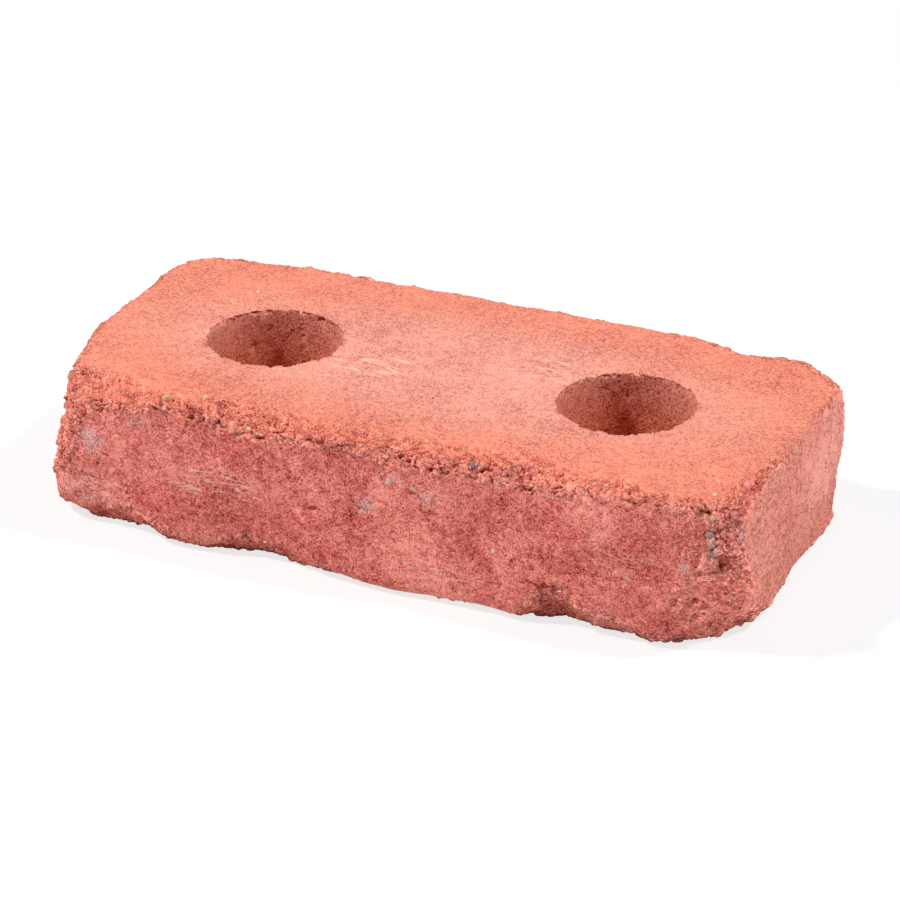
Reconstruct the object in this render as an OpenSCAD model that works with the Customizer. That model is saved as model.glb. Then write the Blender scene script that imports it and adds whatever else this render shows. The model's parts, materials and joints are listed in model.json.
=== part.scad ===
// Tumbled concrete walling block with two round cores.
//
// One pressed concrete casting: a long slab whose top, bottom and sides are the
// mould's flat faces, whose arrises and corners were knocked off in a tumbling
// drum, and which has two round holes straight through it, a quarter of its
// length in from each end, so that they line up in half bond.
//
// Frame: X along the length, Y across the bed, Z up; the origin is at the
// middle of the bottom face.

/* [Block] */
// Length of the block
block_length = 440; // [340:1:560]
// Width of the block, from its front face to its back face
block_width = 215; // [165:1:280]
// Height of the block
block_height = 97; // [70:1:130]

/* [Cores] */
// Distance between the middles of the two holes
core_spacing = 225; // [140:1:280]
// Diameter of each hole
core_diameter = 80; // [40:1:110]

/* [Corners] */
// Radius worn on the front left upright corner
front_left_radius = 27; // [12:1:60]
// Radius worn on the front right upright corner
front_right_radius = 24; // [12:1:60]
// Radius worn on the back right upright corner
back_right_radius = 32; // [12:1:60]
// Radius worn on the back left upright corner
back_left_radius = 42; // [12:1:60]

/* [Broken arrises] */
// How far in from the sides the top arris is broken
top_break_in = 7; // [3:0.5:14]
// How far down from the top face the top arris is broken
top_break_down = 5.5; // [3:0.5:14]
// The same along the front face, where the top arris took most of the knocks
front_break_in = 18; // [3:0.5:24]
// How far down from the top face it is broken there
front_break_down = 10; // [3:0.5:16]
// How far in from the sides the bottom arris is broken
bottom_break_in = 13; // [3:0.5:14]
// How far up from the bottom face the bottom arris is broken
bottom_break_up = 9; // [3:0.5:14]
// How far the width of a break wanders along the block, as a share of it
break_wander = 0.35; // [0:0.05:0.5]
// How far a side face wanders in and out of flat
face_wander = 0.7; // [0:0.1:2]
// How far the gravelly surface of a break sticks out or is pitted
break_grit = 0.8; // [0:0.1:2]

/* [Hidden] */

half_length = block_length / 2;
half_width = block_width / 2;

// Distance between the points along the outline, and the seed of all that
// tumbling left to chance.
step = 7;
seed = 11;

// Pieces that came off in the drum: the middle of the bite, how far it reaches,
// and how deep it pushes the surface in along X, Y and Z.
chips = [
    // front left corner, top and bottom
    [[-half_length, -half_width, block_height], 80, [13, 4, -9]],
    [[-0.82 * half_length, -half_width, 0], 70, [0, 11, 7]],
    // front arris, top
    [[-0.45 * half_length, -half_width, block_height], 60, [0, 3, -2]],
    [[0.36 * half_length, -half_width, block_height], 66, [0, 6, -1]],
    // front arris, bottom, with a notch
    [[-0.34 * half_length, -half_width, 0], 68, [0, 9, 7]],
    [[0.51 * half_length, -half_width, 0], 26, [0, 7, 13]],
    [[0.68 * half_length, -half_width, 0], 34, [0, 5, 5]],
    // corner between the front and the right end
    [[half_length, -half_width, 0.28 * block_height], 42, [-4, 8, 0]],
    [[half_length, -half_width, 0], 60, [-6, 17, 15]],
    // right end: top near the front, bottom, and the far upright
    [[half_length, -0.70 * half_width, block_height], 18, [-4, 0, -5]],
    [[half_length, 0.10 * half_width, 0], 70, [-3, 0, 2]],
    [[half_length, 0.90 * half_width, 0.15 * block_height], 60, [-6, -4, 3]],
    // back arris, top
    [[0.94 * half_length, 0.94 * half_width, block_height], 46, [-5, -7, -4]],
    [[0.70 * half_length, half_width, block_height], 40, [0, -8, -5]],
    [[-0.85 * half_length, half_width, block_height], 50, [2, -4, -2]],
    // back arris, bottom
    [[-0.30 * half_length, half_width, 0], 50, [0, -7, 6]],
    [[0.55 * half_length, half_width, 0], 56, [0, -9, 7]],
];

// ---- outline -------------------------------------------------------------

// Corner centre signs, radius and the direction where its arc starts, going
// anticlockwise from the front left corner.
corners = [
    [[-1, -1], front_left_radius, 180],
    [[1, -1], front_right_radius, 270],
    [[1, 1], back_right_radius, 0],
    [[-1, 1], back_left_radius, 90],
];

function unit(a) = [cos(a), sin(a)];

function corner_centre(c) =
    [c[0].x * (half_length - c[1]), c[0].y * (half_width - c[1])];

// Stations along the arc of corner c: [point, outward direction].
function arc_stations(c) =
    let (n = ceil(PI * c[1] / 2 / step))
    [for (i = [0:n]) let (a = c[2] + 90 * i / n) [corner_centre(c) + c[1] * unit(a), a]];

// Stations between the arcs of corners c and d, without the ends.
function side_stations(c, d) =
    let (
        a = d[2],
        p = corner_centre(c) + c[1] * unit(a),
        q = corner_centre(d) + d[1] * unit(a),
        n = ceil(norm(q - p) / step)
    )
    [for (i = [1:n - 1]) [p + (q - p) * i / n, a]];

stations = [
    for (k = [0:3])
        let (c = corners[k], d = corners[(k + 1) % 4])
        each concat(arc_stations(c), side_stations(c, d))
];
station_count = len(stations);

// ---- wear ----------------------------------------------------------------

// A smooth periodic curve through the values in knots, at u from 0 to 1.
function wander(knots, u) =
    let (
        x = u * len(knots),
        i = floor(x),
        blend = (1 - cos(180 * (x - i))) / 2
    )
    knots[i % len(knots)] * (1 - blend) + knots[(i + 1) % len(knots)] * blend;

top_knots = rands(-1, 1, 46, seed);
bottom_knots = rands(-1, 1, 46, seed + 1);
low_face_knots = rands(-1, 1, 30, seed + 2);
high_face_knots = rands(-1, 1, 30, seed + 3);

function smooth(x) = let (t = max(0, min(1, x))) t * t * (3 - 2 * t);

// The total push of all chips on a point.
function chipped(p, i = 0) =
    i == len(chips)
        ? [0, 0, 0]
        : smooth(1 - norm(p - chips[i][0]) / chips[i][1]) * chips[i][2] + chipped(p, i + 1);

// ---- skin ----------------------------------------------------------------

// A break is a quarter of an ellipse from the face to the side, and its points
// are [inset from the outline, height].
break_steps = 3;
wall_steps = 4;

function bottom_break(s, turn) =
    let (size = 1 + break_wander * wander(bottom_knots, s / station_count))
    [bottom_break_in * size * (1 - sin(turn)), bottom_break_up * size * (1 - cos(turn))];

// The front break narrows again towards the right end, between these shares of
// half_length.
front_fade = [0.55, 0.8];

// 1 where station s faces the front, fading out round the corners and towards
// the right end.
function frontness(s) =
    let (share = stations[s][0].x / half_length)
    max(0, -sin(stations[s][1])) * (1 - smooth((share - front_fade[0]) / (front_fade[1] - front_fade[0])));

function top_break(s, turn) =
    let (
        size = 1 + break_wander * wander(top_knots, s / station_count),
        front = frontness(s),
        reach_in = top_break_in + (front_break_in - top_break_in) * front,
        reach_down = top_break_down + (front_break_down - top_break_down) * front
    )
    [reach_in * size * (1 - sin(turn)), block_height - reach_down * size * (1 - cos(turn))];

// [inset, height] of every level at station s, from the bottom face to the top.
function profile(s) =
    let (
        low = bottom_break(s, 90),
        high = top_break(s, 90)
    )
    concat(
        [for (i = [0:break_steps]) bottom_break(s, 90 * i / break_steps)],
        [for (i = [1:wall_steps - 1]) low + (high - low) * i / wall_steps],
        [for (i = [break_steps:-1:0]) top_break(s, 90 * i / break_steps)]
    );
level_count = 2 * (break_steps + 1) + wall_steps - 1;

grit = [for (l = [0:level_count - 1]) rands(0, break_grit, station_count, seed + 10 + l)];

// The point of level l at station s, with its wear.
function skin_point(s, l) =
    let (
        u = s / station_count,
        level = profile(s)[l],
        on_face = l == 0 || l == level_count - 1,
        on_break = l <= break_steps || l >= level_count - 1 - break_steps,
        share = level[1] / block_height,
        wave = face_wander * (wander(low_face_knots, u) * (1 - share) + wander(high_face_knots, u) * share),
        out = unit(stations[s][1]),
        inset = level[0] + face_wander + wave + grit[l][s] * (on_break ? 1 : 0.3),
        plain = [each stations[s][0] - inset * out, level[1]],
        worn = plain + chipped(plain)
    )
    on_face ? [worn.x, worn.y, level[1]] : worn;

skin_points = [for (l = [0:level_count - 1]) for (s = [0:station_count - 1]) skin_point(s, l)];

function at(s, l) = l * station_count + s % station_count;

// ---- pieces --------------------------------------------------------------

// The solid without its holes: the levels are skinned together, and each flat
// face is a fan of triangles round its middle.
module worn_slab() {
    bottom_middle = len(skin_points);
    top_middle = bottom_middle + 1;
    top_level = level_count - 1;
    polyhedron(
        points = concat(skin_points, [[0, 0, 0], [0, 0, block_height]]),
        faces = [
            for (s = [0:station_count - 1]) each [
                [bottom_middle, at(s, 0), at(s + 1, 0)],
                [top_middle, at(s + 1, top_level), at(s, top_level)],
            ],
            for (l = [0:top_level - 1]) for (s = [0:station_count - 1]) each [
                [at(s, l), at(s, l + 1), at(s + 1, l + 1)],
                [at(s, l), at(s + 1, l + 1), at(s + 1, l)],
            ],
        ]
    );
}

module core(side) {
    overrun = 1;
    translate([side * core_spacing / 2, 0, -overrun])
        cylinder(h = block_height + 2 * overrun, d = core_diameter, $fn = 96);
}

module block() {
    color([0.87, 0.50, 0.43])
    difference() {
        worn_slab();
        for (side = [-1, 1]) core(side);
    }
}

block();
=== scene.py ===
"""The finish of a tumbled concrete walling block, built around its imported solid.

The block's skin is a fine mesh taken from the solid and then worn: the arrises and
corners are crumbled down to their gravel, and the moulded faces keep their pits,
knocks and scuffs. Loose coated grit and a few bare pebbles sit in the broken places.
"""

import json
import math

import bmesh
import bpy
from mathutils import Euler, Matrix, Vector, noise


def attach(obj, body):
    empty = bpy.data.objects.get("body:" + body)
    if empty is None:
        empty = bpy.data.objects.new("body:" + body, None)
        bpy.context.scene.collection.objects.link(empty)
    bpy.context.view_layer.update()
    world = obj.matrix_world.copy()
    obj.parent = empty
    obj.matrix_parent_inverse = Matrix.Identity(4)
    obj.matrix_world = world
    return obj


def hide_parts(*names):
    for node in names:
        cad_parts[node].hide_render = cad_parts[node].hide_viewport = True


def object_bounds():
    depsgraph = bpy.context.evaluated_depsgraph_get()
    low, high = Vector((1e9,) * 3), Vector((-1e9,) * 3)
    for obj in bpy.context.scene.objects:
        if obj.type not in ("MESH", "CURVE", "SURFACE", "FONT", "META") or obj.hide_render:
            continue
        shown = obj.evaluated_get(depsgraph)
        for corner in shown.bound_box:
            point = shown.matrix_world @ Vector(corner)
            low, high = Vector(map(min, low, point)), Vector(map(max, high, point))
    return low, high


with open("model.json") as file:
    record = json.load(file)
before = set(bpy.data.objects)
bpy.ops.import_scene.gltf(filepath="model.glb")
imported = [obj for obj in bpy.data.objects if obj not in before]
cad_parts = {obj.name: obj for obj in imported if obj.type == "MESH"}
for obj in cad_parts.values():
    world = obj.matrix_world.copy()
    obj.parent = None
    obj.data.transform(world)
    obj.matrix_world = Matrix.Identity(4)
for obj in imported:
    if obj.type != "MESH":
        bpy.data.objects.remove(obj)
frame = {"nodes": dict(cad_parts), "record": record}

bl_info = {
    "name": "Tumbled Walling Block",
    "version": (1, 0, 0),
    "blender": (4, 5, 0),
    "location": "View3D > Sidebar > Block",
    "description": "Wears and colours a cored concrete walling block, and stands it in a plain studio",
    "category": "Object",
}

MM = 0.001
BLOCK = "block"
BODY = "root"
SLOT = "red_concrete"
SKIN = "worn_block"
GRAINS = "coated_grains"
PEBBLE = "bare_pebbles"

CAD_LOW, CAD_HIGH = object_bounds()
MIDDLE = (CAD_LOW + CAD_HIGH) / 2
HEIGHT = CAD_HIGH.z
FRONT = CAD_LOW.y
RIGHT = CAD_HIGH.x
CORES = [m for m in frame["record"]["mounts"] if m["kind"] == "bore"]


# ---- properties ------------------------------------------------------------


class BlockSkinSettings(bpy.types.PropertyGroup):
    """How the block's skin is meshed and worn."""

    voxel: bpy.props.FloatProperty(
        name="Voxel", description="Fineness of the mesh before it is thinned",
        default=0.7 * MM, min=0.5 * MM, max=4 * MM, unit="LENGTH", subtype="DISTANCE")
    triangles: bpy.props.IntProperty(
        name="Triangles", description="Most triangles that the finished skin may have",
        default=198000, min=20000, max=199000)
    gravel: bpy.props.FloatProperty(
        name="Gravel", description="Width of the lumps that show in a broken place",
        default=5.5 * MM, min=2 * MM, max=12 * MM, unit="LENGTH", subtype="DISTANCE")
    gravel_height: bpy.props.FloatProperty(
        name="Gravel height", description="How far the lumps stand out",
        default=2.9 * MM, min=0.0, max=5 * MM, unit="LENGTH", subtype="DISTANCE")
    crack_depth: bpy.props.FloatProperty(
        name="Crack depth", description="Depth of the cracks and holes between the lumps",
        default=2.6 * MM, min=0.0, max=5 * MM, unit="LENGTH", subtype="DISTANCE")
    pit_depth: bpy.props.FloatProperty(
        name="Pit depth", description="Depth of the pits in a moulded face",
        default=1.1 * MM, min=0.0, max=3 * MM, unit="LENGTH", subtype="DISTANCE")
    rim_nick: bpy.props.FloatProperty(
        name="Rim nicks", description="Depth of the nicks round the rims of the cores",
        default=2.6 * MM, min=0.0, max=4 * MM, unit="LENGTH", subtype="DISTANCE")


class GritSettings(bpy.types.PropertyGroup):
    """The loose coated grit in the broken places."""

    density: bpy.props.FloatProperty(
        name="Density", description="Grains to a square millimetre of broken surface",
        default=0.007, min=0.0, max=0.1)
    smallest: bpy.props.FloatProperty(
        name="Smallest", description="Radius of the smallest grains",
        default=0.5 * MM, min=0.2 * MM, max=2 * MM, unit="LENGTH", subtype="DISTANCE")
    largest: bpy.props.FloatProperty(
        name="Largest", description="Radius of the largest grains",
        default=2.2 * MM, min=0.5 * MM, max=4 * MM, unit="LENGTH", subtype="DISTANCE")
    seed: bpy.props.IntProperty(
        name="Seed", description="Another number scatters the grains another way",
        default=4, min=0)


class ConcreteSettings(bpy.types.PropertyGroup):
    """The colours of the pigmented concrete."""

    bed: bpy.props.FloatVectorProperty(
        name="Bed face", description="Dusty face that the courses lie on",
        default=(0.83, 0.338, 0.260), size=3, min=0, max=1, subtype="COLOR")
    rubbed_bed: bpy.props.FloatVectorProperty(
        name="Rubbed bed", description="Bed face towards its long arrises, where the dust is rubbed off",
        default=(0.81, 0.262, 0.178), size=3, min=0, max=1, subtype="COLOR")
    side: bpy.props.FloatVectorProperty(
        name="Long side", description="Moulded side where it is palest",
        default=(0.88, 0.288, 0.238), size=3, min=0, max=1, subtype="COLOR")
    deep_side: bpy.props.FloatVectorProperty(
        name="Deep side", description="Moulded side where it is deepest in colour",
        default=(0.73, 0.180, 0.150), size=3, min=0, max=1, subtype="COLOR")
    end: bpy.props.FloatVectorProperty(
        name="Ends", description="End faces, paler than the long sides",
        default=(0.80, 0.332, 0.250), size=3, min=0, max=1, subtype="COLOR")
    core_mouth: bpy.props.FloatVectorProperty(
        name="Core mouth", description="Core walls near the beds",
        default=(0.77, 0.304, 0.220), size=3, min=0, max=1, subtype="COLOR")
    # Painted shade: the deep core wall colour is darker and redder than the mouth.
    core: bpy.props.FloatVectorProperty(
        name="Core wall", description="Core walls deep inside",
        default=(0.68, 0.235, 0.135), size=3, min=0, max=1, subtype="COLOR")
    broken: bpy.props.FloatVectorProperty(
        name="Broken", description="Broken concrete that faces up",
        default=(0.88, 0.280, 0.190), size=3, min=0, max=1, subtype="COLOR")
    fresh: bpy.props.FloatVectorProperty(
        name="Fresh gravel", description="The palest lumps of a broken place that faces up",
        default=(0.97, 0.42, 0.27), size=3, min=0, max=1, subtype="COLOR")
    torn: bpy.props.FloatVectorProperty(
        name="Torn", description="Broken concrete on the sides and corners",
        default=(1.0, 0.370, 0.300), size=3, min=0, max=1, subtype="COLOR")
    # Pale dust, also used as painted light along the foot of the sides.
    dust: bpy.props.FloatVectorProperty(
        name="Dust", description="Pale dust in scratches and along the foot of the sides",
        default=(0.93, 0.40, 0.335), size=3, min=0, max=1, subtype="COLOR")
    fleck: bpy.props.FloatVectorProperty(
        name="Flecks", description="Pale flecks on the faces and the breaks",
        default=(1.0, 0.59, 0.48), size=3, min=0, max=1, subtype="COLOR")
    scratch: bpy.props.FloatVectorProperty(
        name="Scratches", description="Pale rubbed lines",
        default=(1.0, 0.60, 0.49), size=3, min=0, max=1, subtype="COLOR")
    bloom: bpy.props.FloatVectorProperty(
        name="Lime bloom", description="Grey lilac lime on the sides",
        default=(0.66, 0.40, 0.39), size=3, min=0, max=1, subtype="COLOR")
    # Painted shade in the bottoms of pits, cracks and hollows.
    shade: bpy.props.FloatVectorProperty(
        name="Pits", description="Bottoms of pits and cracks",
        default=(0.34, 0.022, 0.012), size=3, min=0, max=1, subtype="COLOR")
    # Painted shade in the shallower pits of the bed faces.
    bed_pit_shade: bpy.props.FloatVectorProperty(
        name="Pits in a bed", description="Bottoms of the shallower pits in the bed faces",
        default=(0.42, 0.085, 0.045), size=3, min=0, max=1, subtype="COLOR")
    # Deep wine red: painted shade on breaks that face down and in the knocked-out places, and the colour of
    # broad darker patches.
    damp: bpy.props.FloatVectorProperty(
        name="Damp", description="Deep wine red where the break holds dirt",
        default=(0.42, 0.058, 0.056), size=3, min=0, max=1, subtype="COLOR")


class StageSettings(bpy.types.PropertyGroup):
    """Camera, lamps and floor."""

    azimuth: bpy.props.FloatProperty(
        name="Azimuth", description="Camera direction round the block",
        default=math.radians(24.0), subtype="ANGLE", unit="ROTATION")
    elevation: bpy.props.FloatProperty(
        name="Elevation", description="Camera height above the horizon",
        default=math.radians(26.0), subtype="ANGLE", unit="ROTATION")
    distance: bpy.props.FloatProperty(
        name="Distance", description="From the camera to the middle of the block",
        default=2.362, min=0.5, unit="LENGTH", subtype="DISTANCE")
    lens: bpy.props.FloatProperty(
        name="Lens", description="Focal length, in millimetres",
        default=160.0, min=20.0, subtype="DISTANCE_CAMERA")
    floor: bpy.props.FloatVectorProperty(
        name="Floor", description="Colour of the floor",
        default=(0.90, 0.90, 0.90), size=3, min=0, max=1, subtype="COLOR")
    world: bpy.props.FloatProperty(
        name="Ambient light", description="Strength of the even light from all round",
        default=0.10, min=0.0, max=1.0)


# ---- nodes as expressions ----------------------------------------------------


class Wire:
    """A node's output that takes part in Python sums: each sum adds a Math node."""

    def __init__(self, graph, socket):
        self.graph = graph
        self.socket = socket

    def __add__(self, other):
        return self.graph.maths("ADD", self, other)

    def __radd__(self, other):
        return self.graph.maths("ADD", other, self)

    def __sub__(self, other):
        return self.graph.maths("SUBTRACT", self, other)

    def __rsub__(self, other):
        return self.graph.maths("SUBTRACT", other, self)

    def __mul__(self, other):
        return self.graph.maths("MULTIPLY", self, other)

    def __rmul__(self, other):
        return self.graph.maths("MULTIPLY", other, self)

    def __abs__(self):
        return self.graph.maths("ABSOLUTE", self)


class Graph:
    """A tree of shader or geometry nodes, written as expressions."""

    def __init__(self, tree):
        self.tree = tree
        tree.nodes.clear()

    def node(self, kind, settings=None, sockets=None, output=0):
        """A node of that kind: its settings first, then its sockets by name or place."""
        made = self.tree.nodes.new(kind)
        for name, value in (settings or {}).items():
            setattr(made, name, value)
        for key, value in (sockets or {}).items():
            if isinstance(value, Wire):
                self.tree.links.new(value.socket, made.inputs[key])
            else:
                made.inputs[key].default_value = value
        return Wire(self, made.outputs[output]) if made.outputs else None

    def maths(self, operation, *values):
        """A Math node."""
        return self.node("ShaderNodeMath", {"operation": operation}, dict(enumerate(values)))

    def most(self, first, *others):
        """The greatest of some numbers."""
        for other in others:
            first = self.maths("MAXIMUM", first, other)
        return first

    def vector(self, operation, *values):
        """A Vector Math node; LENGTH gives a number."""
        output = 1 if operation == "LENGTH" else 0
        return self.node("ShaderNodeVectorMath", {"operation": operation}, dict(enumerate(values)), output)

    def scaled(self, vector, by):
        """A vector or colour times a number."""
        return self.node("ShaderNodeVectorMath", {"operation": "SCALE"}, {0: vector, "Scale": by})

    def parts(self, vector):
        """The x, y and z of a vector."""
        split = self.node("ShaderNodeSeparateXYZ", {}, {0: vector})
        return [Wire(self, output) for output in split.socket.node.outputs]

    def step(self, value, low, high):
        """0 below low and 1 above high, smooth in between."""
        return self.node("ShaderNodeMapRange", {"interpolation_type": "SMOOTHSTEP"}, {
            "Value": value, "From Min": low, "From Max": high}, "Result")

    def blend(self, share, a, b):
        """Number a, turning into b as share goes from 0 to 1."""
        return self.node("ShaderNodeMix", {"data_type": "FLOAT"}, {0: share, 2: a, 3: b})

    def mix(self, share, a, b):
        """Colour a, turning into b as share goes from 0 to 1."""
        return self.node("ShaderNodeMix", {"data_type": "RGBA"}, {0: share, 6: a, 7: b}, 2)

    def noise(self, where, size, detail=2.0, roughness=0.5, output=0):
        """Noise about 0.5, with swells about size across; output 1 is a colour."""
        return self.node("ShaderNodeTexNoise", {}, {
            "Vector": where, "Scale": 1 / size, "Detail": detail, "Roughness": roughness}, output)

    def cells(self, where, size, feature="F1", output="Distance"):
        """Packed cells about size across."""
        return self.node("ShaderNodeTexVoronoi", {"feature": feature}, {
            "Vector": where, "Scale": 1 / size}, output)

    def cell_number(self, where, size):
        """A number from 0 to 1 for each cell."""
        return self.parts(self.cells(where, size, output="Color"))[0]

    def wandered(self, where, size, reach):
        """The place moved about by noise, so that what is drawn there is ragged."""
        push = self.vector("SUBTRACT", self.noise(where, size, 2.0, 0.5, 1), (0.5, 0.5, 0.5))
        return self.vector("ADD", where, self.scaled(push, reach))

    def spots(self, where, spots):
        """The sum of soft spots: (x, y, z, (reach along x, y, z), strength), in metres."""
        total = 0.0
        for *middle, reach, strength in spots:
            offset = self.vector("SUBTRACT", where, tuple(middle))
            gap = self.vector("LENGTH", self.vector("DIVIDE", offset, reach))
            total = self.step(gap, 1.0, 0.2) * strength + total
        return total

    # geometry only

    def store(self, geometry, name, value):
        """The geometry with a number stored at each of its points, and the stored number."""
        kept = self.node("GeometryNodeStoreNamedAttribute", {"data_type": "FLOAT", "domain": "POINT"}, {
            "Geometry": geometry, "Name": name, "Value": value})
        return kept, self.node("GeometryNodeInputNamedAttribute", {"data_type": "FLOAT"}, {"Name": name})

    def blur(self, value, turns, kind="FLOAT", weight=1.0):
        """The value averaged with its neighbours' on the mesh, that many times over."""
        return self.node("GeometryNodeBlurAttribute", {"data_type": kind}, {
            0: value, "Iterations": turns, "Weight": weight})


def spread(scale, *marks):
    """Marks in millimetres, (x, y, z, reach or (reach along x, y, z), strength), as spots in metres."""
    made = []
    for x, y, z, reach, strength in marks:
        reaches = reach if isinstance(reach, tuple) else (reach,) * 3
        made.append((x * MM, y * MM, z * MM, tuple(r * MM for r in reaches), strength * scale))
    return made


# ---- wear ------------------------------------------------------------------

KEPT = "fine"

TOP_MM = HEIGHT / MM
FRONT_MM = FRONT / MM
RIGHT_MM = RIGHT / MM

# Pieces knocked out, each with its depth in millimetres.
KNOCKS = spread(
    MM,
    # long side
    (-38, FRONT_MM, 46, (7, 8, 2.5), 2.6),
    (72, FRONT_MM, 66, (5, 8, 3), 1.6),
    (53, FRONT_MM, 49, (6, 8, 3), 1.3),
    (98, FRONT_MM, 37, (4, 8, 4), 2.0),
    (117, FRONT_MM, 38, (6, 8, 3), 1.8),
    (118, FRONT_MM, 68, (6, 8, 2.5), 1.6),
    (24, FRONT_MM, 69, (5, 8, 2), 1.6),
    (105, FRONT_MM, 27, (19, 9, 2.0), 3.4),
    (104, FRONT_MM, 15, (17, 8, 11), 1.2),
    # top front arris
    (-182, -95, TOP_MM - 4, (5, 12, 8), 2.0),
    (-94, FRONT_MM, TOP_MM - 5, (9, 9, 4), 2.4),
    (-66, -102, TOP_MM - 3, (8, 9, 4), 2.4),
    (-8, -100, TOP_MM - 1, (4, 5, 5), 2.6),
    (50, FRONT_MM, TOP_MM - 8, (9, 9, 4), 2.8),
    (97, FRONT_MM, TOP_MM - 3, (7, 9, 4), 2.2),
    # upright corner at the right
    (214, -106, 76, (5, 8, 5), 1.6),
    (212, -104, 58, (6, 9, 8), 3.2),
    (209, -100, 40, (9, 10, 8), 3.4),
    (RIGHT_MM - 3, -64, TOP_MM - 3, (8, 11, 6), 2.6),
    (203, -98, 2, (24, 18, 10), 2.0),
    # rim of the left core
    (-101, 39, TOP_MM - 4, (4, 4, 4), 3.4),
)

# Where the skin keeps its finest mesh besides the rims of the cores.
FINE = spread(
    1.0,
    (0, -98, 90, (250, 24, 22), 2.0),
    (208, -96, 46, (24, 24, 62), 2.0),
    (-208, -96, 60, (24, 30, 44), 2.0),
)

# How much more readily (above 0) or less readily (below 0) an arris crumbled than the rest.
CRUMBLY = spread(
    1.0,
    (-206, -98, 16, (34, 30, 24), -1.2),
    (180, FRONT_MM, 20, (40, 30, 24), -1.0),
    (0, FRONT_MM, 0, (230, 26, 22), -1.1),
    (60, -97, TOP_MM - 8, (110, 26, 16), 0.7),
    (0, -FRONT_MM, TOP_MM, (230, 24, 16), -0.7),
    (RIGHT_MM, 0, TOP_MM, (18, 80, 16), -0.9),
    (RIGHT_MM, 30, 10, (18, 90, 20), -0.6),
    (-176, -98, TOP_MM - 14, (44, 30, 20), 1.0),
    (-208, -92, 66, (26, 40, 36), 1.6),
    (209, -100, 56, (18, 18, 44), 1.6),
)

# Lilac grey lime, and pale scuffs.
BLOOM = spread(
    1.0,
    (-182, -100, 60, (16, 20, 16), 1.0),
    (-150, FRONT_MM, 80, (16, 14, 7), 0.8),
    (-92, FRONT_MM, 61, 9, 0.5),
    (12, FRONT_MM, 76, (16, 14, 10), 0.7),
    (-4, FRONT_MM, 57, (11, 14, 12), 0.9),
    (35, FRONT_MM, 67, (14, 14, 9), 1.0),
    (80, FRONT_MM, 85, (34, 14, 6), 0.6),
    (29, FRONT_MM, 17, (8, 14, 9), 0.5),
    (205, -104, 72, (4, 12, 13), 1.4),
    (190, FRONT_MM, 60, (5, 12, 12), 1.2),
    (RIGHT_MM, -92, 78, (12, 5, 16), 1.3),
    (RIGHT_MM, 17, 52, (14, 4, 16), 1.1),
    (RIGHT_MM, -10, 80, (14, 5, 22), 0.6),
)
SCUFFS = spread(
    1.0,
    (-45, -10, TOP_MM, (40, 22, 10), 1.0),
    (60, 20, TOP_MM, (70, 40, 10), 0.45),
    (-140, -40, TOP_MM, (40, 22, 10), 0.35),
    (-100, FRONT_MM, 49, (55, 10, 12), 1.0),
    (150, FRONT_MM, 55, (50, 10, 22), 0.3),
    (30, FRONT_MM, 22, (60, 10, 12), 0.5),
)

# Pale dust on the right end and beside the cores, and pale painted light along the foot of the sides,
# standing in for light from the floor.
DUST_AND_FOOT_LIGHT = spread(
    1.0,
    (-190, FRONT_MM, 22, (40, 30, 26), 0.9),
    (-60, FRONT_MM, 2, (100, 24, 18), 0.7),
    (150, FRONT_MM, 2, (60, 24, 20), 0.8),
    (50, FRONT_MM, 4, (50, 24, 14), 0.6),
    (RIGHT_MM, 45, 55, (14, 60, 44), 0.9),
    (-150, -12, TOP_MM, (22, 16, 10), 0.6),
    (-78, 8, TOP_MM, (16, 22, 10), 0.5),
    (70, 8, TOP_MM, (14, 20, 10), 0.4),
    (RIGHT_MM - 12, FRONT_MM + 8, 84, (22, 14, 16), 0.4),
)

# Deep wine red: painted shade in the knocked-out places and on the underside of the bottom arris, and broad
# darker patches on the long side.
SHADE_AND_WINE_PATCHES = spread(
    1.0,
    (212, -104, 58, (8, 12, 9), 1.3),
    (209, -100, 34, (15, 14, 13), 1.3),
    (196, -104, 12, (20, 18, 10), 0.4),
    (105, FRONT_MM, 25, (18, 12, 4), 0.5),
    (-60, FRONT_MM + 4, 0, (40, 16, 7), 0.9),
    (-110, FRONT_MM, 40, (60, 10, 30), 0.25),
    (90, FRONT_MM, 66, (50, 10, 24), 0.3),
)

# Pebbles that lie bare: place and radii in millimetres, and colour.
PEBBLES = (
    ((60, -99, TOP_MM - 5), (2.7, 2.1, 2.2), (0.24, 0.22, 0.22)),
    ((-132, -101, TOP_MM), (2.6, 2.0, 1.6), (0.80, 0.40, 0.23)),
    ((-113, -92, TOP_MM), (2.2, 2.0, 1.6), (0.90, 0.50, 0.30)),
    ((-80, FRONT_MM, TOP_MM - 8), (1.8, 1.4, 1.2), (0.85, 0.50, 0.33)),
    ((200, -90, TOP_MM), (1.7, 1.5, 1.4), (0.85, 0.62, 0.45)),
    ((206, FRONT_MM, 92), (1.7, 1.5, 1.3), (0.62, 0.42, 0.31)),
    ((204, FRONT_MM, 80), (2.5, 2.1, 1.6), (0.40, 0.27, 0.25)),
    ((11, FRONT_MM, 74), (3.2, 1.6, 1.0), (0.66, 0.52, 0.46)),
    ((26, FRONT_MM, 71), (2.2, 1.3, 0.9), (0.70, 0.50, 0.43)),
    ((75, FRONT_MM, 43), (1.4, 1.2, 0.9), (0.90, 0.66, 0.66)),
    ((157, FRONT_MM, 45), (1.5, 1.3, 1.0), (0.50, 0.36, 0.33)),
    ((-152, 56, TOP_MM), (1.5, 1.2, 0.7), (0.85, 0.66, 0.54)),
    ((-68, 92, 0), (2.4, 1.9, 1.4), (0.45, 0.36, 0.31)),
    ((120, 104, 30), (1.9, 1.6, 1.2), (0.80, 0.50, 0.36)),
    ((-190, 96, 70), (2.3, 1.9, 1.5), (0.34, 0.26, 0.25)),
)

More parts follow.
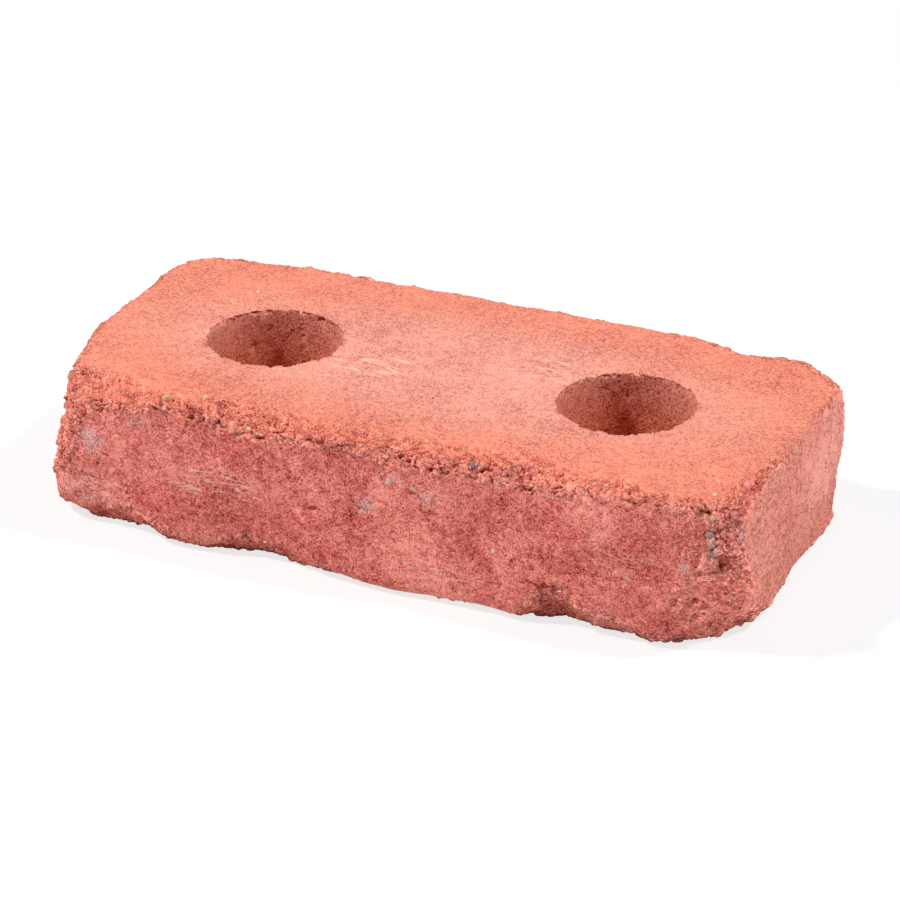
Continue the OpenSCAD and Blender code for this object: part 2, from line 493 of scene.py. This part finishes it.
# How a bare pebble lies: turned by this much from the last, and sunk in by this share of its height.
PEBBLE_TURN = 1.7
PEBBLE_SUNK = 0.35
# How uneven a pebble is, as a share of its size, and how many swells there are across it.
PEBBLE_UNEVEN = 0.4
PEBBLE_SWELLS = 1.2

# The first thinning leaves this many times the triangles of the finished skin.
FIRST_THINNING = 1.3


def core_gap(g, x, y):
    """Distance outside the wall of the nearer core."""
    gaps = []
    for core in CORES:
        across = x - core["pos_m"][0]
        along = y - core["pos_m"][1]
        gaps.append(g.maths("SQRT", across * across + along * along) - core["dims"]["r_mm"] * MM)
    return g.maths("MINIMUM", *gaps)


def lumps(g, where, size, reach, cleft):
    """Rounded lumps of about that size, from 0 in the clefts between them up to 1."""
    bent = g.wandered(where, 1.4 * size, reach)
    tall = g.cell_number(bent, size)
    return g.step(g.cells(bent, size, "DISTANCE_TO_EDGE"), 0.0, cleft) * (0.25 + 0.75 * tall * tall)


def crumbled_depth(g, where, settings):
    """How far a broken place lies outside the solid: lumps, grit, cracks and holes."""
    size = settings.gravel
    _, y, z = g.parts(where)
    calm = g.most(g.step(z, 28 * MM, 14 * MM), g.step(y, -80 * MM, -50 * MM))
    lively = g.blend(calm, settings.gravel_height, 0.4 * settings.gravel_height)
    swell = g.noise(where, 16 * MM, 4.0, 0.6) - 0.5
    seam = abs(g.noise(g.vector("MULTIPLY", where, (0.6, 1.0, 1.0)), 13 * MM, 3.0, 0.6) - 0.5)
    crack = g.step(seam, 0.020, 0.0) * g.step(g.noise(where, 22 * MM), 0.44, 0.52)
    bent = g.wandered(where, 5 * MM, 6 * MM)
    hole = g.step(g.cell_number(bent, 6 * MM), 0.66, 0.80) * g.step(g.cells(bent, 6 * MM), 0.42, 0.18)
    return (
        lively * (lumps(g, where, 2.0 * size, 8 * MM, 0.16) - 0.35)
        + 0.8 * lively * (lumps(g, where, size, 4 * MM, 0.16) - 0.30)
        + 0.3 * lively * (lumps(g, where, 0.45 * size, 3 * MM, 0.25) - 0.35)
        + 5.0 * MM * swell
        - settings.crack_depth * g.most(crack, 0.7 * hole)
    )


def moulded_depth(g, where, bed, settings):
    """How far a moulded face lies outside the solid: swells and pits, with the smoother beds less pitted."""
    long_pits = g.vector("MULTIPLY", g.wandered(where, 6 * MM, 8 * MM), (0.6, 0.6, 1.0))
    worn = g.step(g.noise(where, 20 * MM, 3.0, 0.6), 0.42, 0.62)
    chosen = g.step(g.cell_number(long_pits, 4 * MM), 0.80 - 0.25 * worn, 0.95)
    pit = chosen * g.step(g.cells(long_pits, 4 * MM), 0.36, 0.12)
    return (
        0.9 * MM * (g.noise(where, 55 * MM) - 0.5)
        + g.blend(bed, 0.7 * MM, 0.3 * MM) * (g.noise(where, 9 * MM, 2.0, 0.5) - 0.5)
        - g.blend(bed, 1.0, 0.5) * settings.pit_depth * pit
        - 0.25 * MM
    )


def new_geometry_tree(name):
    """A tree that takes the skin and gives it back, with only its ends made."""
    tree = bpy.data.node_groups.new(name, "GeometryNodeTree")
    for way in ("INPUT", "OUTPUT"):
        tree.interface.new_socket("Skin", in_out=way, socket_type="NodeSocketGeometry")
    return tree, Graph(tree)


def in_box(g, place):
    """The place, moved back to the block's box if it lies outside."""
    return g.vector("MAXIMUM", g.vector("MINIMUM", place, tuple(CAD_HIGH)), tuple(CAD_LOW))


def wear_nodes(settings):
    """Geometry nodes that move the fine mesh in to its worn surface and store what the colours need."""
    tree, g = new_geometry_tree("wear")
    skin = g.node("NodeGroupInput")
    where = g.node("GeometryNodeInputPosition")
    facing = g.node("GeometryNodeInputNormal")
    x, y, z = g.parts(where)
    gap = core_gap(g, x, y)

    # The arrises and corners are where the solid faces no way squarely.
    along, across, up = [abs(part) for part in g.parts(facing)]
    flatness = g.most(along, across, up)
    turned = (1.0 - flatness) * g.step(gap, 0.8 * MM, 1.6 * MM)
    skin, turned = g.store(skin, "turned", g.blur(turned, 80))
    rounded = g.blur(where, 18, "FLOAT_VECTOR", g.step(turned, 0.002, 0.02) * g.step(gap, 1.5 * MM, 4 * MM))
    skin = g.node("GeometryNodeSetPosition", {}, {"Geometry": skin, "Position": rounded})

    ragged_where = g.wandered(where, 5 * MM, 8 * MM)
    readily = 1.0 + 3.6 * (g.noise(where, 15 * MM, 5.0, 0.7) - 0.5) + g.spots(ragged_where, CRUMBLY)
    away = g.step(gap, 1.5 * MM, 5 * MM)
    skin, broken = g.store(skin, "broken", g.step(turned * readily, 0.006, 0.080) * away)

    drop = g.maths("MINIMUM", HEIGHT - z, z)
    rim = g.step(g.maths("SQRT", gap * gap + drop * drop), 4.5 * MM, 0.5 * MM)
    nick = 0.15 + g.step(g.noise(where, 7 * MM, 4.0, 0.65), 0.46, 0.62)
    bed = g.step(up, 0.5, 0.9)
    shift = g.blend(broken, moulded_depth(g, where, bed, settings), crumbled_depth(g, where, settings))
    shift = shift - g.spots(ragged_where, KNOCKS)
    skin, shift = g.store(skin, "shift", shift)
    # hollow: how far a point lies below its neighbours, which the material paints as shade.
    skin, _ = g.store(skin, "hollow", g.blur(shift, 14) - shift)
    shift = shift - rim * nick * settings.rim_nick
    fine = g.most(g.step(rim, 0.1, 0.3), g.step(g.spots(where, FINE) * broken, 0.2, 0.5))
    skin, _ = g.store(skin, KEPT, fine)
    skin, _ = g.store(skin, "core", g.step(gap, 1.2 * MM, 0.4 * MM))
    skin, _ = g.store(skin, "bloom", g.spots(where, BLOOM))
    skin, _ = g.store(skin, "scuff", g.spots(where, SCUFFS))
    skin, _ = g.store(skin, "dust", g.spots(where, DUST_AND_FOOT_LIGHT))
    skin, _ = g.store(skin, "damp", g.spots(ragged_where, SHADE_AND_WINE_PATCHES))
    inwards = g.blur(facing, 4, "FLOAT_VECTOR")
    moved = in_box(g, g.vector("ADD", where, g.scaled(inwards, shift)))
    skin = g.node("GeometryNodeSetPosition", {}, {"Geometry": skin, "Position": moved})
    g.node("NodeGroupOutput", {}, {0: skin})
    return tree


def grit_nodes(settings):
    """Geometry nodes that turn the skin into the grains that lie in its broken places."""
    tree, g = new_geometry_tree("grit")
    where = g.node("GeometryNodeInputPosition")
    broken = g.node("GeometryNodeInputNamedAttribute", {"data_type": "FLOAT"}, {"Name": "broken"})
    clump = g.step(g.noise(where, 12 * MM, 2.0, 0.5), 0.38, 0.55)
    density = g.step(broken, 0.3, 0.8) * clump * (settings.density / MM**2)
    scatter = g.node("GeometryNodeDistributePointsOnFaces", {"distribute_method": "RANDOM"}, {
        "Mesh": g.node("NodeGroupInput"), "Density": density, "Seed": settings.seed}, "Points")
    upright = Wire(g, scatter.socket.node.outputs["Rotation"])
    chance = g.node("FunctionNodeRandomValue", {"data_type": "FLOAT"}, {2: 0.0, 3: 1.0, "Seed": 1}, 1)
    radius = settings.smallest + (settings.largest - settings.smallest) * (chance * chance * chance)
    squash = g.node("FunctionNodeRandomValue", {"data_type": "FLOAT_VECTOR"}, {
        0: (0.7,) * 3, 1: (1.2,) * 3, "Seed": 3}, 0)
    grain = g.node("GeometryNodeMeshIcoSphere", {}, {"Radius": 1.0, "Subdivisions": 2}, "Mesh")
    grain = g.node("GeometryNodeTransform", {}, {"Geometry": grain, "Translation": (0.0, 0.0, -0.35)})
    grains = g.node("GeometryNodeInstanceOnPoints", {}, {
        "Points": scatter, "Instance": grain, "Rotation": upright, "Scale": g.scaled(squash, radius)})
    grains = g.node("GeometryNodeRealizeInstances", {}, {0: grains})
    moved = in_box(g, g.wandered(where, 1.6 * MM, 2.2 * MM))
    grains = g.node("GeometryNodeSetPosition", {}, {"Geometry": grains, "Position": moved})
    g.node("NodeGroupOutput", {}, {0: grains})
    return tree


# ---- meshes ------------------------------------------------------------------


def keep_in_box(mesh):
    """Move back the few points that thinning has pushed out of the block's box."""
    for vertex in mesh.vertices:
        for axis in range(3):
            vertex.co[axis] = min(max(vertex.co[axis], CAD_LOW[axis]), CAD_HIGH[axis])


def apply_modifier(piece, kind, **settings):
    """Put a modifier of that kind on the piece and apply it."""
    modifier = piece.modifiers.new(kind.lower(), kind)
    for name, value in settings.items():
        setattr(modifier, name, value)
    with bpy.context.temp_override(object=piece, active_object=piece, selected_objects=[piece]):
        bpy.ops.object.modifier_apply(modifier=modifier.name)


def thin(piece, triangles, **settings):
    """Merge the piece's smallest triangles until no more than that many are left."""
    ratio = triangles / sum(len(polygon.vertices) - 2 for polygon in piece.data.polygons)
    if ratio < 1.0:
        apply_modifier(piece, "DECIMATE", ratio=ratio, **settings)


def new_piece(name, mesh, material):
    """An object in the scene that rides on the block and can be recoloured with it."""
    piece = bpy.data.objects.new(name, mesh)
    bpy.context.scene.collection.objects.link(piece)
    mesh.materials.clear()
    mesh.materials.append(material)
    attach(piece, BODY)
    return piece


class BLOCK_OT_skin(bpy.types.Operator):
    """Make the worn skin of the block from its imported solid"""

    bl_idname = "walling_block.skin"
    bl_label = "Block skin"

    def execute(self, context):
        settings = context.scene.block_skin
        mesh = frame["nodes"][BLOCK].data.copy()
        mesh.name = SKIN
        piece = new_piece(SKIN, mesh, concrete_material(context.scene.concrete))
        apply_modifier(piece, "REMESH", mode="VOXEL", voxel_size=settings.voxel, adaptivity=0.0)
        piece.vertex_groups.new(name=KEPT)
        apply_modifier(piece, "NODES", node_group=wear_nodes(settings))
        # The first thinning spares the finest places, and the second comes down to the count.
        spared = {"vertex_group": KEPT, "invert_vertex_group": True, "vertex_group_factor": 1e-4}
        thin(piece, FIRST_THINNING * settings.triangles, **spared)
        thin(piece, settings.triangles)
        keep_in_box(piece.data)
        piece.data.shade_smooth()
        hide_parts(BLOCK)
        return {"FINISHED"}


class BLOCK_OT_grit(bpy.types.Operator):
    """Scatter coated grains over the broken places of the skin"""

    bl_idname = "walling_block.grit"
    bl_label = "Coated grit"

    def execute(self, context):
        mesh = bpy.data.objects[SKIN].data.copy()
        mesh.name = GRAINS
        piece = new_piece(GRAINS, mesh, grain_material(context.scene.concrete))
        apply_modifier(piece, "NODES", node_group=grit_nodes(context.scene.grit))
        keep_in_box(piece.data)
        piece.data.materials.clear()
        piece.data.materials.append(bpy.data.materials[GRAINS])
        piece.data.shade_smooth()
        return {"FINISHED"}


class BLOCK_OT_pebbles(bpy.types.Operator):
    """Bed the bare pebbles in the skin"""

    bl_idname = "walling_block.pebbles"
    bl_label = "Bare pebbles"

    def execute(self, context):
        skin = bpy.data.objects[SKIN]
        shape = bmesh.new()
        kind = shape.verts.layers.float_color.new("stone")
        for number, (place, size, colour) in enumerate(PEBBLES):
            _, spot, facing, _ = skin.closest_point_on_mesh(Vector(place) * MM)
            turn = Euler((0, 0, PEBBLE_TURN * number)).to_matrix()
            turn = facing.to_track_quat("Z", "X").to_matrix() @ turn
            place = Matrix.Translation(spot - facing * size[2] * PEBBLE_SUNK * MM) @ turn.to_4x4()
            made = bmesh.ops.create_icosphere(shape, subdivisions=3, radius=1.0)["verts"]
            for vertex in made:
                lump = 1.0 + PEBBLE_UNEVEN * noise.noise(vertex.co * PEBBLE_SWELLS + Vector((number, 0, 0)))
                vertex.co = place @ (lump * vertex.co * MM * Vector(size))
                vertex[kind] = (*colour, 1.0)
        mesh = bpy.data.meshes.new(PEBBLE)
        shape.to_mesh(mesh)
        shape.free()
        piece = new_piece(PEBBLE, mesh, pebble_material())
        keep_in_box(piece.data)
        piece.data.shade_smooth()
        return {"FINISHED"}


# ---- material ----------------------------------------------------------------


def rgba(colour):
    """An opaque colour."""
    return (*colour, 1.0)


def new_material(name):
    """A material whose nodes are still to be made."""
    material = bpy.data.materials.new(name)
    material.use_nodes = True
    return material, Graph(material.node_tree)


def finish(g, colour, height, relief, roughness, specular, strength=1.0):
    """End a material's nodes in one surface; a height of 1 stands out by the relief."""
    bump = g.node("ShaderNodeBump", {}, {
        "Strength": strength, "Distance": relief, "Height": height}, "Normal")
    shader = g.node("ShaderNodeBsdfPrincipled", {}, {
        "Base Color": colour, "Roughness": roughness, "Normal": bump, "Specular IOR Level": specular}, "BSDF")
    g.node("ShaderNodeOutputMaterial", {}, {"Surface": shader})


def rubble(g, where):
    """Lumps about 2.6 mm across for the shaders: their height, a number for each, and the clefts between."""
    size = 2.6 * MM
    bent = g.wandered(where, 3 * MM, 2.5 * MM)
    number = g.cell_number(bent, size)
    edge = g.cells(bent, size, "DISTANCE_TO_EDGE")
    cleft = g.step(edge, 0.10, 0.02) * g.step(g.noise(where, 7 * MM, 2.0, 0.6), 0.46, 0.60)
    return g.step(edge, 0.0, 0.35) * (0.4 + number), number, cleft


def dots(g, where, size, share, reach):
    """Crisp spots: 1 inside them, in about that share of cells of that size, to that reach of a cell."""
    chosen = g.step(g.cell_number(where, size), 1.0 - share, 1.0 - 0.6 * share)
    return chosen * g.step(g.cells(where, size), reach, 0.5 * reach)


def deepened(g, colour, tone):
    """The colour times the tone; below a tone of 1 it also grows redder, as shaded pigment does."""
    low = g.most(g.maths("MINIMUM", tone, 1.0), 0.0)
    red = g.node("ShaderNodeCombineXYZ", {}, {0: low, 1: low * low, 2: low * low})
    return g.scaled(g.vector("MULTIPLY", colour, red), g.most(tone, 1.0))


def concrete_material(colours):
    """Pigmented concrete: dusty beds, deeper sides with lime bloom and scuffs, and gravelly breaks, with
    painted shade in pits, clefts, hollows, undersides and deep cores, and painted light on the ends, the foot
    and the right-hand corners.
    """
    material, g = new_material(SLOT)
    where = g.node("ShaderNodeTexCoord", {}, {}, "Object")
    x, y, z = g.parts(where)
    broken, hollow, core, bloom, scuff, dust, damp = [
        g.node("ShaderNodeAttribute", {"attribute_name": name}, {}, "Fac")
        for name in ("broken", "hollow", "core", "bloom", "scuff", "dust", "damp")
    ]
    facing = g.parts(g.node("ShaderNodeNewGeometry", {}, {}, "Normal"))
    along = g.step(abs(facing[0]), 0.5, 0.8)
    bed = g.step(abs(facing[2]), 0.3, 0.7)
    under = g.step(facing[2], -0.10, -0.55)

    rough = g.noise(where, 3.5 * MM, 6.0, 0.75)
    grain = g.noise(where, 2.2 * MM, 2.0, 0.5)
    fine = g.cell_number(where, 0.6 * MM)
    sand = g.noise(where, 1.1 * MM, 2.0, 0.6)
    patch = g.noise(where, 11 * MM, 6.0, 0.75)
    mottle = g.noise(where, 40 * MM, 6.0, 0.7)
    cloud = g.noise(where, 90 * MM, 2.0, 0.5)
    strip = g.noise(g.vector("MULTIPLY", where, (1.0, 1.0, 0.2)), 6 * MM, 4.0, 0.6)
    lump, lump_number, cleft = rubble(g, where)

    # Ground colours, by face.
    depth = g.maths("MINIMUM", HEIGHT - z, z)
    # Painted shade: the core walls turn darker and redder with depth below the beds.
    walls_painted_darker_deep = g.mix(g.step(depth, 8 * MM, 36 * MM), rgba(colours.core_mouth), rgba(colours.core))
    deep = g.step(0.4 * patch + 0.6 * mottle, 0.60, 0.40)
    sides = g.mix(deep, rgba(colours.side), rgba(colours.deep_side))
    ends = g.mix(g.step(0.6 * strip + 0.4 * patch, 0.60, 0.42) * 0.8, rgba(colours.end), rgba(colours.side))
    sides = g.mix(along, sides, ends)
    sides = g.mix(core, sides, walls_painted_darker_deep)
    outward = g.maths("SQRT", y * y + 0.14 * (x * x))
    outward = g.step(outward + (mottle - 0.5) * 60 * MM, 40 * MM, 95 * MM)
    beds = g.mix(outward, rgba(colours.bed), rgba(colours.rubbed_bed))
    colour = g.mix(bed, sides, beds)
    edge = g.step(broken + (patch - 0.5) * 1.6, 0.25, 0.75)
    fresh = g.mix(g.step(lump_number, 0.72, 0.95) * 0.5, rgba(colours.broken), rgba(colours.fresh))
    colour = g.mix(edge, colour, g.mix(bed, rgba(colours.torn), fresh))
    # Deep wine red patches, most of them painted shade in the knocked-out places.
    colour = g.mix(g.step(damp + (patch - 0.5) * 1.5, 0.15, 0.85) * 0.85, colour, rgba(colours.damp))
    # Painted shade: breaks that face down are drawn towards the deep wine red.
    colour = g.mix(under * edge * 0.6, colour, rgba(colours.damp))
    # Pale dust, and painted light along the foot of the sides.
    colour = g.mix(g.step(dust + (patch - 0.5) * 1.5, 0.1, 0.9) * 0.8, colour, rgba(colours.dust))

    # Lime, in broken-up clouds.
    lime = g.step(bloom + (patch - 0.5) * 3.5 + (rough - 0.5) * 1.5, 0.25, 1.35)
    colour = g.mix(lime * g.step(bloom, 0.0, 0.35) * 0.8, colour, rgba(colours.bloom))

    # Light and dark of the mix itself, with painted light on the ends and on the breaks of the sides, most
    # near the right-hand end.
    coarse = (mottle - 0.5) * 0.8 + (rough - 0.5) * g.blend(bed, 1.7, 0.9)
    coarse = coarse + (patch - 0.5) * g.blend(bed, 0.5, 0.2)
    gathered = g.blend(g.step(patch, 0.60, 0.42), 0.55, 1.25)
    speckled = (fine - 0.5) * g.blend(bed, 0.85, 0.7) + (sand - 0.5) * g.blend(bed, 1.3, 0.7) * gathered
    lumpy = edge * (patch - 0.5) * 0.6 + (lump_number - 0.5) * g.blend(edge, 0.1, 0.6)
    # Painted light: breaks on the sides and ends are drawn lighter, most near the right-hand end.
    right_corners = g.step(x, 150 * MM, 195 * MM)
    painted_corner_light = edge * (1.0 - bed) * g.blend(right_corners, 0.05, 0.35)
    # Painted light: the ends are drawn lighter than the long sides.
    tone = g.blend(bed, 1.02, 1.08) + (cloud - 0.5) * 0.25 + along * 0.12
    tone = tone + coarse * g.blend(core, 1.0, 0.5) + speckled + lumpy + painted_corner_light
    colour = deepened(g, colour, tone)

    # Pale flecks and scratches.
    long_where = g.vector("MULTIPLY", g.wandered(where, 9 * MM, 5 * MM), (0.55, 0.8, 1.0))
    often = g.step(patch, 0.42, 0.62)
    speckle = dots(g, long_where, 2.0 * MM, 0.3, 0.36) * often
    gritty = edge * dots(g, where, 2.2 * MM, 0.25, 0.4)
    fleck = g.most(speckle, gritty, g.step(rough, 0.60, 0.67) * 0.8, dots(g, where, 1.5 * MM, 0.14, 0.40))
    colour = g.mix(fleck * g.blend(bed, 0.7, 0.5), colour, rgba(colours.fleck))
    drawn = g.vector("MULTIPLY", g.wandered(where, 30 * MM, 14 * MM), (0.09, 0.5, 1.0))
    streak = g.noise(drawn, 1.6 * MM, 2.0, 0.5)
    rubbed = g.step(streak, 0.55, 0.61) * g.step(scuff, 0.05, 0.6)
    colour = g.mix(rubbed * 0.8, colour, rgba(colours.scratch))

    # Painted shade in pits, clefts and hollows.
    seldom = g.most(bed, along)
    deepest = g.blend(core, g.blend(seldom, 0.335, 0.285), 0.34)
    # Painted shade: specks where the rough noise is low, and dots for the holes and pinholes, drawn dark and
    # red.
    speck_shade = g.step(rough + (patch - 0.5) * 0.8, deepest, deepest - 0.04)
    holes = dots(g, long_where, 2.4 * MM, g.blend(seldom, 0.28, 0.16), 0.30) * g.step(patch, 0.62, 0.45)
    pinholes = dots(g, where, 1.4 * MM, g.blend(seldom, 0.18, 0.12), 0.36) * g.step(patch, 0.66, 0.42)
    pinholes = g.most(pinholes, core * dots(g, where, 1.8 * MM, 0.34, 0.30))
    painted_pit_shade = g.most(speck_shade, holes, pinholes) * (1.0 - g.step(dust, 0.2, 0.9) * 0.5)
    pit = g.mix(bed, rgba(colours.shade), rgba(colours.bed_pit_shade))
    colour = g.mix(painted_pit_shade * g.blend(core, g.blend(bed, 0.65, 0.5), 0.8), colour, pit)
    # Painted shade in the clefts between the lumps of a break.
    colour = g.mix(cleft * edge * 0.45, colour, rgba(colours.shade))
    # Painted shade in the hollows of the worn surface.
    painted_hollow_shade = g.step(hollow, 0.45 * MM, 1.7 * MM) * g.blend(g.step(patch, 0.42, 0.58), 0.3, 1.0)
    colour = g.mix(painted_hollow_shade * 0.8, colour, rgba(colours.shade))

    height = g.blend(bed, 0.8, 0.35) * g.blend(core, 1.0, 0.4) * grain
    height = height - holes * 0.4 - pinholes * 0.2 + edge * (0.5 * lump - 0.2 * cleft)
    finish(g, colour, height, 1.0 * MM, roughness=0.93, specular=0.04)
    return material


def grain_material(colours):
    """Grit with a coat of pigmented cement, each grain lighter or darker than the next."""
    material, g = new_material(GRAINS)
    where = g.node("ShaderNodeTexCoord", {}, {}, "Object")
    up = g.parts(g.node("ShaderNodeNewGeometry", {}, {}, "Normal"))[2]
    number = g.cell_number(where, 3.2 * MM)
    sand = g.noise(where, 0.9 * MM, 2.0, 0.6)
    colour = g.mix(g.step(up, -0.2, 0.7), rgba(colours.torn), rgba(colours.broken))
    colour = g.mix(g.step(number, 0.80, 1.0) * 0.6, colour, rgba(colours.dust))
    colour = g.scaled(colour, 0.95 + (number - 0.5) * 0.3 + (sand - 0.5) * 0.8)
    finish(g, colour, sand, 0.5 * MM, roughness=0.9, specular=0.25)
    return material


def pebble_material():
    """Bare river stone, each pebble in its own colour, with fine specks."""
    material, g = new_material(PEBBLE)
    where = g.node("ShaderNodeTexCoord", {}, {}, "Object")
    stone = g.node("ShaderNodeAttribute", {"attribute_name": "stone"}, {}, "Color")
    vein = g.noise(where, 1.4 * MM, 3.0, 0.7)
    colour = g.scaled(stone, 0.55 + 0.9 * vein)
    finish(g, colour, vein, 0.3 * MM, roughness=0.7, specular=0.35, strength=0.6)
    return material


# ---- stage -------------------------------------------------------------------


def direction(azimuth, elevation):
    """From the block towards a lamp or camera; azimuth 0 is in front of the long side."""
    level = math.cos(elevation)
    return Vector((math.sin(azimuth) * level, -math.cos(azimuth) * level, math.sin(elevation)))


# Lamps: name, azimuth and elevation in degrees, and power in watts.
LAMPS = (
    ("left_lamp", -56, 51, 108),
    ("right_lamp", 104, 54, 86),
)
LAMP_DISTANCE = 4.0
LAMP_SIZE = 0.3

WHITE = (1.0, 1.0, 1.0)
GLOW = 1.10
GLOW_SHARE = 0.7
FLOOR_REACH = 6.0
SENSOR_MM = 36.0
FAR_CLIP = 50.0
AIM_OFFSET = Vector((1.2, 0.0, -4.3)) * MM


def lamp(name, azimuth, elevation, power):
    """A square soft lamp that looks at the middle of the block."""
    data = bpy.data.lights.new(name, "AREA")
    data.size = LAMP_SIZE
    data.energy = power
    made = bpy.data.objects.new(name, data)
    bpy.context.scene.collection.objects.link(made)
    back = direction(math.radians(azimuth), math.radians(elevation))
    made.location = MIDDLE + back * LAMP_DISTANCE
    made.rotation_euler = (-back).to_track_quat("-Z", "Y").to_euler()


def floor_material(colour):
    """Plain matt floor that also glows to the camera, so that it stays white and its shadow pale."""
    material, g = new_material("floor")
    matt = g.node("ShaderNodeBsdfDiffuse", {}, {"Color": rgba(colour)})
    white = g.node("ShaderNodeEmission", {}, {"Color": rgba(WHITE), "Strength": GLOW})
    seen = g.node("ShaderNodeLightPath", {}, {}, "Is Camera Ray")
    both = g.node("ShaderNodeMixShader", {}, {0: seen * GLOW_SHARE, 1: matt, 2: white})
    g.node("ShaderNodeOutputMaterial", {}, {"Surface": both})
    return material


class BLOCK_OT_stage(bpy.types.Operator):
    """Make the floor, the lamps and the camera"""

    bl_idname = "walling_block.stage"
    bl_label = "Studio"

    def execute(self, context):
        settings = context.scene.block_stage
        scene = context.scene
        scene.view_settings.view_transform = "Standard"

        data = bpy.data.cameras.new("camera")
        data.lens = settings.lens
        data.sensor_width = SENSOR_MM
        data.clip_end = FAR_CLIP
        camera = bpy.data.objects.new("camera", data)
        scene.collection.objects.link(camera)
        back = direction(settings.azimuth, settings.elevation)
        camera.location = MIDDLE + AIM_OFFSET + back * settings.distance
        camera.rotation_euler = (-back).to_track_quat("-Z", "Y").to_euler()
        scene.camera = camera

        mesh = bpy.data.meshes.new("floor")
        corners = [(x * FLOOR_REACH, y * FLOOR_REACH, 0.0) for x, y in ((-1, -1), (1, -1), (1, 1), (-1, 1))]
        mesh.from_pydata(corners, [], [(0, 1, 2, 3)])
        floor = bpy.data.objects.new("floor", mesh)
        mesh.materials.append(floor_material(settings.floor))
        scene.collection.objects.link(floor)

        for facts in LAMPS:
            lamp(*facts)

        world = bpy.data.worlds.new("world")
        world.use_nodes = True
        background = world.node_tree.nodes["Background"].inputs
        background["Color"].default_value = rgba(WHITE)
        background["Strength"].default_value = settings.world
        scene.world = world
        return {"FINISHED"}


# ---- panel and start -----------------------------------------------------------


class BLOCK_PT_panel(bpy.types.Panel):
    """The operators and their settings"""

    bl_idname = "BLOCK_PT_panel"
    bl_label = "Tumbled Walling Block"
    bl_space_type = "VIEW_3D"
    bl_region_type = "UI"
    bl_category = "Block"

    def draw(self, context):
        for operator in OPERATORS:
            self.layout.operator(operator.bl_idname)
        for name, group in SETTINGS.items():
            box = self.layout.box()
            for setting in group.__annotations__:
                box.prop(getattr(context.scene, name), setting)


OPERATORS = (BLOCK_OT_skin, BLOCK_OT_grit, BLOCK_OT_pebbles, BLOCK_OT_stage)
SETTINGS = {
    "block_skin": BlockSkinSettings,
    "grit": GritSettings,
    "concrete": ConcreteSettings,
    "block_stage": StageSettings,
}


def register():
    for group in (*SETTINGS.values(), *OPERATORS, BLOCK_PT_panel):
        bpy.utils.register_class(group)
    for name, group in SETTINGS.items():
        setattr(bpy.types.Scene, name, bpy.props.PointerProperty(type=group))


def unregister():
    for name in SETTINGS:
        delattr(bpy.types.Scene, name)
    for group in (BLOCK_PT_panel, *reversed(OPERATORS), *SETTINGS.values()):
        bpy.utils.unregister_class(group)


def main():
    register()
    bpy.ops.walling_block.skin()
    bpy.ops.walling_block.grit()
    bpy.ops.walling_block.pebbles()
    bpy.ops.walling_block.stage()
    bpy.context.view_layer.update()


if __name__ == "__main__":
    main()
